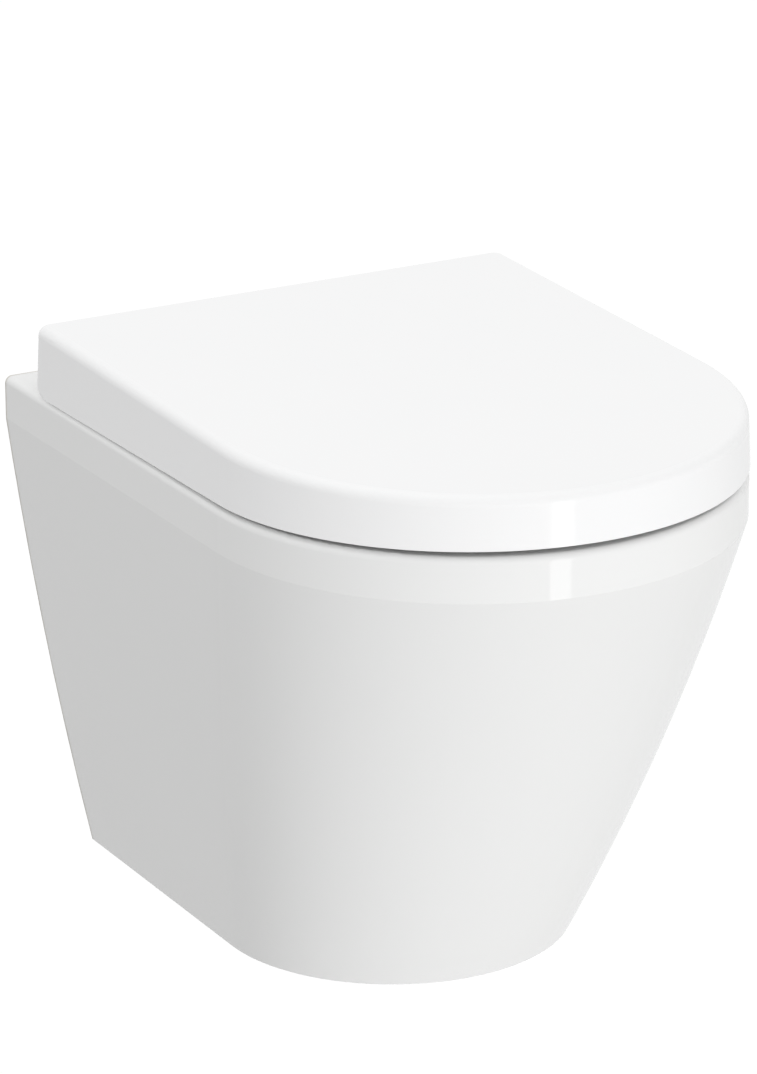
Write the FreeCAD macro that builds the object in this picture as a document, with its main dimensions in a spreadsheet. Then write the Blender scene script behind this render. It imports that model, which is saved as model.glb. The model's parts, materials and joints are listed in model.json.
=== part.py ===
import FreeCAD, Part
import math
import os
import Sketcher
from types import SimpleNamespace
from FreeCAD import Placement, Rotation, Vector

# Wall hung toilet. Millimetres, +Z up, the wall is the plane Y = 0 and the nose points to -Y.
# The origin is midway between the two wall studs, on the wall plane.

DRIVING = [
    # pan, outside
    ("rim_width", 355, "pan at the rim, side to side"),
    ("projection", 480, "pan at the rim, wall to nose"),
    ("pan_height", 343, "underside to rim"),
    ("rim_above_studs", 80, "rim above the stud centres"),
    ("band_height", 29, "upright band under the rim, down to the crease"),
    ("rim_edge_radius", 4.8, "outer edge of the rim"),
    ("mid_width", 305, "pan halfway between underside and crease"),
    ("mid_length", 412, "the same, wall to nose"),
    ("base_width", 240, "underside, side to side"),
    ("base_length", 326, "underside, wall to nose"),
    ("skirt_wall", 12, "china of the skirt"),
    ("deck_thickness", 12, "china of the rim and deck"),
    ("floor_thickness", 12, "china of the underside"),
    # bowl
    ("bowl_wall", 10, "china of the bowl"),
    ("rim_breadth", 42, "rim at the sides and nose"),
    ("rim_inner_radius", 7, "inner edge of the rim"),
    ("mouth_flank", 17, "straight side of the bowl's mouth"),
    ("waist_depth", 90, "bowl section below the mouth"),
    ("waist_width", 238, "its width"),
    ("waist_front", 416, "its front, from the wall"),
    ("waist_rear", 164, "its rear, from the wall"),
    ("throat_depth", 190, "bowl section above the sump"),
    ("throat_width", 150, "its width"),
    ("throat_front", 366, "its front, from the wall"),
    ("throat_rear", 198, "its rear, from the wall"),
    ("sump_depth", 262, "top of the sump, below the rim"),
    ("sump_width", 92, "its width"),
    ("sump_front", 324, "its front, from the wall"),
    ("sump_rear", 214, "its rear, from the wall"),
    ("well_depth", 318, "bottom of the sump, below the rim"),
    ("well_width", 72, "its width"),
    ("well_front", 310, "its front, from the wall"),
    ("well_rear", 226, "its rear, from the wall"),
    # trapway and outlet
    ("trap_radius", 28, "bore of the trapway"),
    ("trap_start", 268, "start of the trapway in the sump, from the wall"),
    ("trap_bend", 214, "start of its first bend, from the wall"),
    ("trap_bend_radius", 44, "both bends"),
    ("trap_climb", 58, "degrees from level"),
    ("trap_rise", 104, "centre line, sump to crest"),
    ("trap_crest_drop", 6, "crest below the outlet's centre"),
    ("outlet_below_studs", 100, "outlet centre"),
    ("outlet_radius", 51, "outside of the spigot"),
    ("outlet_bore_radius", 45, "inside of the spigot"),
    ("outlet_length", 92, "inside end of the spigot, from the wall"),
    ("outlet_setback", 6, "free end of the spigot behind the wall plane"),
    # flush inlet
    ("inlet_above_studs", 35, "flush inlet centre"),
    ("inlet_radius", 27.5, "socket for the seal"),
    ("inlet_socket_depth", 40, "socket, from the wall"),
    ("inlet_wall", 9, "china round the inlet"),
    ("flush_radius", 20, "passage to the bowl"),
    ("flush_passage_end", 112, "end of the round passage, from the wall"),
    ("flush_mouth_width", 110, "flush mouth in the bowl"),
    ("flush_mouth_height", 18, "flush mouth in the bowl"),
    ("flush_pipe_radius", 22.5, "flush pipe that the seal takes"),
    ("seal_length", 36, "inlet seal"),
    # wall fixing
    ("stud_spacing", 180, "wall studs, centre to centre"),
    ("stud_hole_radius", 6.5, "hole for a stud"),
    ("bracket_width", 35, "wall bracket, square"),
    ("bracket_depth", 55, "wall bracket, from the wall"),
    ("bracket_floor", 12, "bracket web that the stud passes"),
    ("bracket_bore_radius", 14, "bracket bore round the nut"),
    ("bracket_clearance", 0.5, "bracket in its pocket"),
    ("pocket_wall", 9, "china round a bracket pocket"),
    ("web_thickness", 14, "china web from a pocket to the skirt"),
    ("washer_radius", 12, "stud washer"),
    ("washer_thickness", 2.5, "stud washer"),
    ("nut_flats", 19, "stud nut across flats"),
    ("nut_thickness", 10, "stud nut"),
    ("stud_thread_radius", 6, "bore of washer and nut"),
    ("lock_screw_radius", 3, "lock screw"),
    ("lock_screw_from_wall", 38, "lock screw centre"),
    ("lock_screw_length", 22, "lock screw shank"),
    ("lock_head_radius", 5, "lock screw head"),
    ("lock_head_height", 5, "lock screw head"),
    ("lock_hex_radius", 2.6, "hexagon socket in the head, corner"),
    ("screw_clearance", 0.05, "radial, screws and pins in their holes"),
    ("access_radius", 10, "hole in the underside to reach a lock screw"),
    ("cap_flange", 3, "cap's rim beyond the hole"),
    ("cap_thickness", 2, "cap's disc"),
    ("cap_plug_length", 9, "cap's plug in the hole"),
    ("cap_wall", 1.6, "cap's plug, wall"),
    # hinge on the deck
    ("hinge_spacing", 155, "deck holes, centre to centre"),
    ("hinge_setback", 20, "hinge axis in front of the lid's back"),
    ("hinge_height", 22.4, "hinge axis above the rim"),
    ("deck_hole_radius", 7, "hole in the deck"),
    ("gasket_thickness", 1, "soft washer under a base plate"),
    ("plate_radius", 17, "hinge base plate"),
    ("plate_thickness", 2.5, "hinge base plate"),
    ("post_radius", 5, "hinge post"),
    ("post_top", 3, "post above the hinge axis"),
    ("post_groove_depth", 0.8, "latch groove"),
    ("post_groove_height", 2.4, "latch groove"),
    ("bolt_radius", 4, "threaded end of a post"),
    ("bolt_length", 44, "threaded end, below the rim"),
    ("bush_length", 30, "expansion bush, below the rim"),
    ("bush_bulge", 2.4, "bush spread under the deck"),
    ("cone_length", 9, "cone nut"),
    ("cone_tip_radius", 5.2, "cone nut's narrow end"),
    # hinge unit
    ("barrel_radius", 14.5, "hinge body round the axis"),
    ("barrel_inner", 20, "barrel from the post towards the middle"),
    ("barrel_outer", 40, "barrel from the post outwards"),
    ("barrel_edge", 1.5, "chamfer of the barrel's ends"),
    ("foot_radius", 11, "foot of the hinge body round the post"),
    ("foot_gap", 0.5, "foot above the base plate"),
    ("post_clearance", 0.2, "post in the foot, radial"),
    ("spring_floor", 4, "seat of the release spring below the axis"),
    ("spring_top", 4, "top of the release spring above the axis"),
    ("spring_wall", 0.9, "release spring, radial"),
    ("button_radius", 6.6, "release button"),
    ("button_clearance", 0.2, "button in its bore, radial"),
    ("button_travel", 2.4, "press of the button"),
    ("button_proud", 0.5, "button above the barrel when it is pressed"),
    ("button_roof", 4.5, "solid top of the button"),
    ("button_edge", 0.8, "rounded rim of the button"),
    ("pin_radius", 4, "hinge pins and damper shafts"),
    ("pin_depth", 10, "hinge pin in the barrel"),
    ("damper_radius", 8.5, "damper cartridge"),
    ("damper_length", 25, "damper cartridge"),
    ("shaft_depth", 18, "damper shaft in the cartridge"),
    ("knuckle_gap", 0.3, "end play beside a barrel"),
    ("knuckle_width", 12, "knuckles of lid and seat"),
    ("knuckle_radius", 11, "seat knuckle"),
    ("boss_radius", 10, "lid knuckle"),
    ("pin_cover", 2, "solid end of a knuckle past the pin"),
    # seat ring
    ("seat_inset", 10, "seat edge inside the lid's edge"),
    ("seat_lift", 6, "seat above the rim"),
    ("seat_thickness", 20, "seat ring"),
    ("seat_swing", 2.6, "rear edge of the ring past the top of a button, to swing round it"),
    ("seat_breadth", 54, "ring at the sides"),
    ("seat_nose_breadth", 62, "ring at the nose"),
    ("seat_flank", 36, "straight side of the seat's opening"),
    ("seat_outer_radius", 7, "outer top edge"),
    ("seat_inner_radius", 8, "inner top edge"),
    ("seat_corner_radius", 22, "rear corners"),
    ("seat_arm_height", 13, "arms from the ring to the knuckles"),
    ("bumper_length", 34, "seat bumper"),
    ("bumper_width", 14, "seat bumper"),
    ("bumper_gap", 0.3, "bumper above what it lands on"),
    ("bumper_front", 372, "front seat bumpers, from the wall"),
    ("bumper_back", 168, "rear seat bumpers, from the wall"),
    ("bumper_side", 141, "rear seat bumpers, from the middle"),
    ("bumper_front_side", 112, "front seat bumpers, from the middle"),
    ("peg_radius", 3, "peg of a bumper"),
    ("peg_length", 7, "peg of a bumper"),
    # lid
    ("lid_back", 42, "back of the lid, from the wall"),
    ("lid_overhang", 1, "lid past the rim at the nose"),
    ("lid_back_height", 47.6, "top of the lid above the rim at its back"),
    ("lid_top_fall", 9.6, "fall of the top from back to nose"),
    ("lid_gap", 0.5, "lower edge above the rim at the back"),
    ("lid_gap_rise", 4.3, "rise of the lower edge from back to nose"),
    ("lid_draft", 2.2, "sides lean in over the lid's height"),
    ("lid_edge_radius", 7.2, "top edge"),
    ("lid_corner_radius", 9, "upright back corners"),
    ("lid_heel_radius", 20.5, "lower back corner, seen from the side"),
    ("lid_wall", 5, "lid shell"),
    ("lid_hollow_radius", 4, "inner top edge of the shell"),
    ("notch_side", 0.8, "lid notch beside a base plate"),
    ("lid_bumper_radius", 7, "lid bumper"),
    ("lid_bumper_from_wall", 330, "lid bumpers"),
    ("lid_bumper_side", 138, "lid bumpers, from the middle"),
]


class Size:
    # A length with its value and the expression that ties it to the sheet.
    def __init__(self, text, value):
        self.text = text
        self.value = value

    def joined(self, sign, other, value):
        text = other.text if isinstance(other, Size) else repr(other)
        return Size(f"({self.text} {sign} {text})", value)

    def __add__(self, other):
        return self.joined("+", other, self.value + plain(other))

    def __sub__(self, other):
        return self.joined("-", other, self.value - plain(other))

    def __mul__(self, other):
        return self.joined("*", other, self.value * plain(other))

    def __truediv__(self, other):
        return self.joined("/", other, self.value / plain(other))

    def __neg__(self):
        return self * -1


def slope_angle(rise, run):
    # degrees
    return Size(f"atan({rise.text} / {run.text})", math.degrees(math.atan(rise.value / run.value)))


def plain(size):
    return size.value if isinstance(size, Size) else size


doc = FreeCAD.newDocument("WallHungToilet")
sheet = doc.addObject("Spreadsheet::Sheet", "Dimensions")
for row, (alias, value, note) in enumerate(DRIVING, start=1):
    sheet.set(f"A{row}", alias)
    sheet.set(f"B{row}", str(value))
    sheet.setAlias(f"B{row}", alias)
    sheet.set(f"C{row}", note)
doc.recompute()
sizes = {alias: Size(f"Dimensions.{alias}", float(sheet.get(alias))) for alias, _, _ in DRIVING}
d = SimpleNamespace(**sizes)

ALONG_X = Rotation(Vector(0, 1, 0), 90)    # a cylinder's axis turned to +X
INTO_PAN = Rotation(Vector(1, 0, 0), 90)   # a cylinder's axis turned to -Y
UPRIGHT = Rotation()
OVERCUT = 1.0                              # a cutting tool's run past the face that it opens

# levels and places that several pieces share
rim = d.rim_above_studs
base = rim - d.pan_height
crease = rim - d.band_height
deck_under = rim - d.deck_thickness
hinge_y = -(d.lid_back + d.hinge_setback)
hinge_z = rim + d.hinge_height
hinge_x = d.hinge_spacing / 2
button_top = d.barrel_radius + d.button_proud + d.button_travel   # above the hinge axis
seat_rear = button_top + d.seat_swing - hinge_y
lid_reach = d.projection + d.lid_overhang
stud_x = d.stud_spacing / 2
mouth_width = d.rim_width - d.rim_breadth * 2
mouth_front = d.projection - d.rim_breadth
mouth_rear = mouth_front - mouth_width - d.mouth_flank


# building blocks
def bind(obj, **sizes):
    for name, size in sizes.items():
        if isinstance(size, Size):
            obj.setExpression(name, size.text)
        else:
            setattr(obj, name, size)


def place(obj, x=0, y=0, z=0, turn=UPRIGHT):
    obj.Placement = Placement(Vector(plain(x), plain(y), plain(z)), turn)
    for axis, size in zip("xyz", (x, y, z)):
        if isinstance(size, Size):
            obj.setExpression(f"Placement.Base.{axis}", size.text)
    return obj


def cylinder(name, radius, height, x=0, y=0, z=0, turn=UPRIGHT):
    obj = doc.addObject("Part::Cylinder", name)
    bind(obj, Radius=radius, Height=height)
    return place(obj, x, y, z, turn)


def cone(name, radius1, radius2, height, x=0, y=0, z=0, turn=UPRIGHT):
    obj = doc.addObject("Part::Cone", name)
    bind(obj, Radius1=radius1, Radius2=radius2, Height=height)
    return place(obj, x, y, z, turn)


def box(name, length, width, height, x=0, y=0, z=0):
    # x, y and z are the lowest corner
    obj = doc.addObject("Part::Box", name)
    bind(obj, Length=length, Width=width, Height=height)
    return place(obj, x, y, z)


def hexagon(name, across_flats, height, x=0, y=0, z=0, turn=UPRIGHT):
    obj = doc.addObject("Part::Prism", name)
    bind(obj, Polygon=6, Circumradius=across_flats / math.sqrt(3), Height=height)
    return place(obj, x, y, z, turn)


def fuse(name, whole, *others):
    # one after another; the last joint has the name
    for count, other in enumerate(others, start=1):
        obj = doc.addObject("Part::Fuse", name if count == len(others) else f"{name}_joint_{count}")
        obj.Base = whole
        obj.Tool = other
        obj.Refine = False
        whole = obj
    return whole


def cut(name, whole, *tools):
    # one tool after another; the last cut has the name
    for count, tool in enumerate(tools, start=1):
        obj = doc.addObject("Part::Cut", name if count == len(tools) else f"{name}_cut_{count}")
        obj.Base = whole
        obj.Tool = tool
        obj.Refine = False
        whole = obj
    return whole


def mirrored(name, source):
    obj = doc.addObject("Part::Mirroring", name)
    obj.Source = source
    obj.Base = Vector(0, 0, 0)
    obj.Normal = Vector(1, 0, 0)
    return obj


def pair(name, right):
    # the right hand piece and its mirror image, as two solids
    obj = doc.addObject("Part::Compound", name)
    obj.Links = [right, mirrored(name + "_left", right)]
    return obj


def plane(body, role):
    return next(f for f in body.Origin.OriginFeatures if f.Role == role)


def sketch_on(body, name, role, offset=0):
    sketch = body.newObject("Sketcher::SketchObject", name)
    sketch.AttachmentSupport = (plane(body, role), [""])
    sketch.MapMode = "FlatFace"
    if isinstance(offset, Size):
        sketch.setExpression("AttachmentOffset.Base.z", offset.text)
    else:
        sketch.AttachmentOffset = Placement(Vector(0, 0, offset), UPRIGHT)
    return sketch


def dimension(sketch, kind, name, size, *places):
    value = math.radians(plain(size)) if kind == "Angle" else plain(size)
    index = sketch.addConstraint(Sketcher.Constraint(kind, *places, value))
    sketch.renameConstraint(index, name)
    if isinstance(size, Size):
        unit = " * 1 deg" if kind == "Angle" else ""
        sketch.setExpression(f"Constraints.{name}", size.text + unit)


def tie(sketch, *constraints):
    for kind, *places in constraints:
        sketch.addConstraint(Sketcher.Constraint(kind, *places))


def outline(body, name, level, width, length, back=0):
    # straight back and flanks with a half circle nose; length is wall to nose
    half = plain(width) / 2
    nose_y = half - plain(length)
    back_y = -plain(back)
    sketch = sketch_on(body, name, "XY_Plane", level)
    sketch.addGeometry([
        Part.LineSegment(Vector(-half, back_y, 0), Vector(half, back_y, 0)),
        Part.LineSegment(Vector(half, back_y, 0), Vector(half, nose_y, 0)),
        Part.ArcOfCircle(Part.Circle(Vector(0, nose_y, 0), Vector(0, 0, 1), half), math.pi, 2 * math.pi),
        Part.LineSegment(Vector(-half, nose_y, 0), Vector(-half, back_y, 0)),
    ])
    tie(
        sketch,
        ("Coincident", 0, 2, 1, 1),
        ("Tangent", 1, 2, 2, 2),
        ("Tangent", 2, 1, 3, 1),
        ("Coincident", 3, 2, 0, 1),
        ("Horizontal", 0),
        ("Vertical", 1),
        ("Vertical", 3),
        ("PointOnObject", 2, 3, -2),
    )
    dimension(sketch, "DistanceX", "width", width, 0, 1, 0, 2)
    dimension(sketch, "DistanceY", "nose_centre", length - width / 2, 2, 3, -1, 1)
    dimension(sketch, "DistanceY", "flank", length - width / 2 - back, 2, 3, 0, 1)
    return sketch


def oval(body, name, level, width, front, rear):
    # two half circles joined by straight sides; front and rear are distances from the wall
    # each half circle is two quarters, so that an edge runs down the middle plane
    half = plain(width) / 2
    quarter = math.pi / 2
    nose = Part.Circle(Vector(0, half - plain(front), 0), Vector(0, 0, 1), half)
    heel = Part.Circle(Vector(0, -half - plain(rear), 0), Vector(0, 0, 1), half)
    sketch = sketch_on(body, name, "XY_Plane", level)
    sketch.addGeometry([
        Part.ArcOfCircle(nose, -quarter, 0),
        Part.LineSegment(Vector(half, nose.Center.y, 0), Vector(half, heel.Center.y, 0)),
        Part.ArcOfCircle(heel, 0, quarter),
        Part.ArcOfCircle(heel, quarter, 2 * quarter),
        Part.LineSegment(Vector(-half, heel.Center.y, 0), Vector(-half, nose.Center.y, 0)),
        Part.ArcOfCircle(nose, 2 * quarter, 3 * quarter),
    ])
    tie(
        sketch,
        ("Tangent", 0, 2, 1, 1),
        ("Tangent", 1, 2, 2, 1),
        ("Coincident", 2, 2, 3, 1),
        ("Tangent", 3, 2, 4, 1),
        ("Tangent", 4, 2, 5, 1),
        ("Coincident", 5, 2, 0, 1),
        ("Coincident", 0, 3, 5, 3),
        ("Coincident", 2, 3, 3, 3),
        ("Vertical", 1),
        ("PointOnObject", 0, 3, -2),
        ("PointOnObject", 2, 3, -2),
        ("PointOnObject", 0, 1, -2),
        ("PointOnObject", 2, 2, -2),
    )
    dimension(sketch, "Radius", "half_width", width / 2, 0)
    dimension(sketch, "DistanceY", "front_centre", front - width / 2, 0, 3, -1, 1)
    dimension(sketch, "DistanceY", "rear_centre", rear + width / 2, 2, 3, -1, 1)
    return sketch


def loft(body, name, sections):
    obj = body.newObject("PartDesign::AdditiveLoft", name)
    obj.Profile = sections[0]
    obj.Sections = sections[1:]
    return obj


def new_body(name):
    return doc.addObject("PartDesign::Body", name)


def pad(body, name, sketch, length):
    obj = body.newObject("PartDesign::Pad", name)
    obj.Profile = sketch
    bind(obj, Length=length)
    return obj


def pocket_through(body, name, sketch):
    # cuts both ways from the sketch, right through
    obj = body.newObject("PartDesign::Pocket", name)
    obj.Profile = sketch
    obj.SideType = "Symmetric"
    obj.Type = "ThroughAll"
    return obj


def fillet(body, name, feature, edges, radius):
    obj = body.newObject("PartDesign::Fillet", name)
    obj.Base = (feature, edges)
    obj.Refine = False
    bind(obj, Radius=radius)
    return obj


def edges_where(feature, wanted):
    found = [f"Edge{i}" for i, edge in enumerate(feature.Shape.Edges, start=1) if wanted(edge)]
    if not found:
        raise RuntimeError(f"no such edge on {feature.Name}")
    return found


def at_level(level):
    return lambda edge: all(abs(p.z - plain(level)) < 0.01 for p in edge.discretize(5))


def upright_at(y):
    def wanted(edge):
        points = edge.discretize(3)
        rise = points[-1].z - points[0].z
        return all(abs(p.y - plain(y)) < 0.05 for p in points) and abs(rise) > 10

    return wanted


def round_the_top(feature):
    # the edges round the highest flat face, level or sloped
    planes = [f for f in feature.Shape.Faces if f.Surface.TypeId == "Part::GeomPlane"]
    flat = [f for f in planes if f.normalAt(0, 0).z > 0.9]
    top = max(flat, key=lambda f: f.CenterOfMass.z)
    return lambda edge: any(edge.isSame(other) for other in top.Edges)


# pan
def pan_outside():
    body = new_body("pan_outside")
    crease_outline = outline(body, "crease_outline", crease, d.rim_width, d.projection)
    sections = [
        outline(body, "base_outline", base, d.base_width, d.base_length),
        outline(body, "mid_outline", (base + crease) / 2, d.mid_width, d.mid_length),
        crease_outline,
    ]
    loft(body, "skirt", sections)
    band_outline = outline(body, "band_outline", crease, d.rim_width, d.projection)
    band = pad(body, "band", band_outline, d.band_height)
    doc.recompute()
    nose_side = edges_where(band, lambda e: at_level(rim)(e) and e.BoundBox.YMin < -1)
    body.Tip = fillet(body, "rim_edge", band, nose_side, d.rim_edge_radius)
    return body


def inside_skirt(name, wall):
    # the skirt's form moved in by a wall, open at the back
    body = new_body(name)
    floor_top = base + d.floor_thickness
    middle = (base + crease) / 2
    both = wall * 2
    sections = [
        outline(body, name + "_base", floor_top, d.base_width - both, d.base_length - wall, -OVERCUT),
        outline(body, name + "_mid", middle, d.mid_width - both, d.mid_length - wall, -OVERCUT),
        outline(body, name + "_crease", crease, d.rim_width - both, d.projection - wall, -OVERCUT),
    ]
    loft(body, name + "_skirt", sections)
    top = outline(body, name + "_top", crease, d.rim_width - both, d.projection - wall, -OVERCUT)
    body.Tip = pad(body, name + "_band", top, d.band_height - d.deck_thickness)
    return body


def bowl(name, wall, mouth_level, floor_level):
    # the bowl grown by a wall: zero for its inside, the china's thickness for its outside
    body = new_body(name)
    grow = wall * 2
    sections = [
        oval(body, name + "_mouth", mouth_level, mouth_width + grow, mouth_front + wall, mouth_rear - wall),
        oval(body, name + "_waist", rim - d.waist_depth, d.waist_width + grow,
             d.waist_front + wall, d.waist_rear - wall),
        oval(body, name + "_throat", rim - d.throat_depth, d.throat_width + grow,
             d.throat_front + wall, d.throat_rear - wall),
        oval(body, name + "_sump", rim - d.sump_depth, d.sump_width + grow,
             d.sump_front + wall, d.sump_rear - wall),
        oval(body, name + "_well", floor_level, d.well_width + grow,
             d.well_front + wall, d.well_rear - wall),
    ]
    body.Tip = loft(body, name + "_loft", sections)
    return body


def trapway(name, radius):
    # level out of the sump, up over the crest and level into the outlet
    low = -(d.outlet_below_studs + d.trap_crest_drop + d.trap_rise)
    body = new_body(name)
    path = sketch_on(body, name + "_path", "YZ_Plane")
    climb = math.radians(plain(d.trap_climb))
    quarter = math.pi / 2
    bend = plain(d.trap_bend_radius)
    start = Vector(-plain(d.trap_start), plain(low), 0)
    first = Vector(-plain(d.trap_bend), plain(low), 0)
    dip = Vector(first.x + bend * math.sin(climb), first.y + bend * (1 - math.cos(climb)), 0)
    straight = (plain(d.trap_rise) - 2 * bend * (1 - math.cos(climb))) / math.sin(climb)
    brow = dip + Vector(math.cos(climb), math.sin(climb), 0) * straight
    crest = Vector(brow.x + bend * math.sin(climb), brow.y + bend * (1 - math.cos(climb)), 0)
    end = Vector(-plain(d.outlet_length) + 4 * OVERCUT, crest.y, 0)
    up = Vector(0, 0, 1)
    path.addGeometry([
        Part.LineSegment(start, first),
        Part.ArcOfCircle(Part.Circle(first + Vector(0, bend, 0), up, bend), -quarter, climb - quarter),
        Part.LineSegment(dip, brow),
        Part.ArcOfCircle(Part.Circle(crest - Vector(0, bend, 0), up, bend), quarter, climb + quarter),
        Part.LineSegment(crest, end),
    ])
    tie(
        path,
        ("Tangent", 0, 2, 1, 1),
        ("Tangent", 1, 2, 2, 1),
        ("Tangent", 2, 2, 3, 2),
        ("Tangent", 3, 1, 4, 1),
        ("Horizontal", 0),
        ("Horizontal", 4),
    )
    dimension(path, "DistanceX", "start", d.trap_start, 0, 1, -1, 1)
    dimension(path, "DistanceY", "low", -low, 0, 1, -1, 1)
    dimension(path, "DistanceX", "bend_start", d.trap_bend, 0, 2, -1, 1)
    dimension(path, "Radius", "first_bend", d.trap_bend_radius, 1)
    dimension(path, "Radius", "second_bend", d.trap_bend_radius, 3)
    dimension(path, "Angle", "climb", d.trap_climb, 0, 1, 2, 1)
    dimension(path, "DistanceY", "rise", d.trap_rise, 0, 1, 4, 2)
    dimension(path, "DistanceX", "end", d.outlet_length - 4 * OVERCUT, 4, 2, -1, 1)
    ring = sketch_on(body, name + "_ring", "XZ_Plane", d.trap_start)
    ring.addGeometry(Part.Circle(Vector(0, plain(low), 0), up, plain(radius)))
    tie(ring, ("PointOnObject", 0, 3, -2))
    dimension(ring, "Radius", "bore", radius, 0)
    dimension(ring, "DistanceY", "low", -low, 0, 3, -1, 1)
    pipe = body.newObject("PartDesign::AdditivePipe", name + "_pipe")
    pipe.Profile = ring
    pipe.Spine = path
    body.Tip = pipe
    return body


def flush_mouth():
    # from the round passage to the wide mouth in the back of the bowl
    body = new_body("flush_mouth")
    start = sketch_on(body, "flush_start", "XZ_Plane", d.flush_passage_end - OVERCUT)
    wide = sketch_on(body, "flush_wide", "XZ_Plane", mouth_rear + d.bowl_wall * 3)
    for sketch, half_width, half_height in (
        (start, d.flush_radius, d.flush_radius),
        (wide, d.flush_mouth_width / 2, d.flush_mouth_height / 2),
    ):
        across = plain(half_width) - plain(half_height) + OVERCUT / 10
        middle = plain(d.inlet_above_studs)
        reach = plain(half_height)
        up = Vector(0, 0, 1)
        quarter = math.pi / 2
        sketch.addGeometry([
            Part.ArcOfCircle(Part.Circle(Vector(across, middle, 0), up, reach), -quarter, quarter),
            Part.LineSegment(Vector(across, middle + reach, 0), Vector(-across, middle + reach, 0)),
            Part.ArcOfCircle(Part.Circle(Vector(-across, middle, 0), up, reach), quarter, 3 * quarter),
            Part.LineSegment(Vector(-across, middle - reach, 0), Vector(across, middle - reach, 0)),
        ])
        tie(
            sketch,
            ("Tangent", 0, 2, 1, 1),
            ("Tangent", 1, 2, 2, 1),
            ("Tangent", 2, 2, 3, 1),
            ("Tangent", 3, 2, 0, 1),
            ("Horizontal", 1),
            ("Symmetric", 0, 3, 2, 3, -2),
        )
        dimension(sketch, "Radius", "half_height", half_height, 0)
        dimension(sketch, "DistanceX", "between", (half_width - half_height + OVERCUT / 10) * 2, 2, 3, 0, 3)
        dimension(sketch, "DistanceY", "level", d.inlet_above_studs, -1, 1, 0, 3)
    body.Tip = loft(body, "flush_flare", [start, wide])
    return body


def pocket_block():
    # right hand pocket for a wall bracket, and the web that carries it on the skirt;
    # the web ends halfway through the skirt's china
    side = d.bracket_width + (d.bracket_clearance + d.pocket_wall) * 2
    depth = d.bracket_depth + d.bracket_clearance + d.pocket_wall
    block = box("pocket_china", side, depth, side, stud_x - side / 2, -depth, -side / 2)
    plate = box("pocket_plate", d.rim_width / 2, depth, d.web_thickness, stud_x, -depth, -d.web_thickness / 2)
    web = doc.addObject("Part::Common", "pocket_web")
    web.Base = plate
    web.Tool = inside_skirt("web_reach", d.skirt_wall / 2)
    return fuse("pocket_block", block, web)


def pocket_hollow():
    side = d.bracket_width + d.bracket_clearance * 2
    depth = d.bracket_depth + d.bracket_clearance
    return box("pocket_hollow", side, depth + OVERCUT, side, stud_x - side / 2, -depth, -side / 2)


def make_pan():
    skirt = cut("skirt_shell", pan_outside(), inside_skirt("hollow", d.skirt_wall))
    well = rim - d.well_depth
    bowl_out = bowl("bowl_outside", d.bowl_wall, rim - d.deck_thickness / 2, well - d.bowl_wall)
    bowl_in = bowl("bowl_inside", d.bowl_wall * 0, rim + OVERCUT, well)
    spigot = cylinder("spigot_outside", d.outlet_radius, d.outlet_length - d.outlet_setback,
                      y=-d.outlet_setback, z=-d.outlet_below_studs, turn=INTO_PAN)
    spigot_bore = cylinder("spigot_bore", d.outlet_bore_radius,
                           d.outlet_length - d.outlet_setback - d.bowl_wall + OVERCUT,
                           y=-d.outlet_setback + OVERCUT, z=-d.outlet_below_studs, turn=INTO_PAN)
    inlet = cylinder("inlet_outside", d.inlet_radius + d.inlet_wall, mouth_rear + d.bowl_wall,
                     z=d.inlet_above_studs, turn=INTO_PAN)
    socket = cylinder("inlet_socket", d.inlet_radius, d.inlet_socket_depth + OVERCUT,
                      y=OVERCUT, z=d.inlet_above_studs, turn=INTO_PAN)
    passage = cylinder("flush_passage", d.flush_radius, d.flush_passage_end,
                       y=0, z=d.inlet_above_studs, turn=INTO_PAN)
    block = pocket_block()
    hollow = pocket_hollow()
    deck_hole = cylinder("deck_hole", d.deck_hole_radius, d.deck_thickness + 2 * OVERCUT,
                         hinge_x, hinge_y, deck_under - OVERCUT)
    lock_hole = cylinder("lock_hole", d.lock_screw_radius + d.screw_clearance * 4, d.bracket_width,
                         stud_x, -d.lock_screw_from_wall, -d.bracket_width * 1.25)
    access = cylinder("access_hole", d.access_radius, d.floor_thickness + 2 * OVERCUT,
                      stud_x, -d.lock_screw_from_wall, base - OVERCUT)
    trap_out = trapway("trap_outside", d.trap_radius + d.bowl_wall)
    block_left = mirrored("pocket_block_left", block)
    china = fuse("pan_china", skirt, bowl_out, trap_out, spigot, inlet, block, block_left)
    sided = [hollow, deck_hole, lock_hole, access]
    openings = [bowl_in, trapway("trap_inside", d.trap_radius), spigot_bore, socket, passage, flush_mouth()]
    openings += sided + [mirrored(tool.Name + "_left", tool) for tool in sided]
    whole = cut("pan_whole", china, *openings)
    doc.recompute()
    # the inner edge of the rim is rounded last
    pan = doc.addObject("PartDesign::Body", "pan_body")
    core = pan.newObject("PartDesign::FeatureBase", "pan_core")
    core.BaseFeature = whole
    doc.recompute()
    half = plain(mouth_width) / 2
    inner = edges_where(core, lambda e: at_level(rim)(e) and e.BoundBox.YMax < 1 - plain(mouth_rear)
                        and e.BoundBox.XMax < half + 1 and e.BoundBox.XMin > -half - 1)
    pan.Tip = fillet(pan, "mouth_edge", core, inner, d.rim_inner_radius)
    return pan


def make_inlet_seal():
    radius = d.inlet_radius - d.screw_clearance
    sleeve = cylinder("seal_sleeve", radius, d.seal_length, y=0, z=d.inlet_above_studs, turn=INTO_PAN)
    bore = cylinder("seal_bore", d.flush_pipe_radius, d.seal_length + 2 * OVERCUT,
                    y=OVERCUT, z=d.inlet_above_studs, turn=INTO_PAN)
    return cut("inlet_seal", sleeve, bore)


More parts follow.
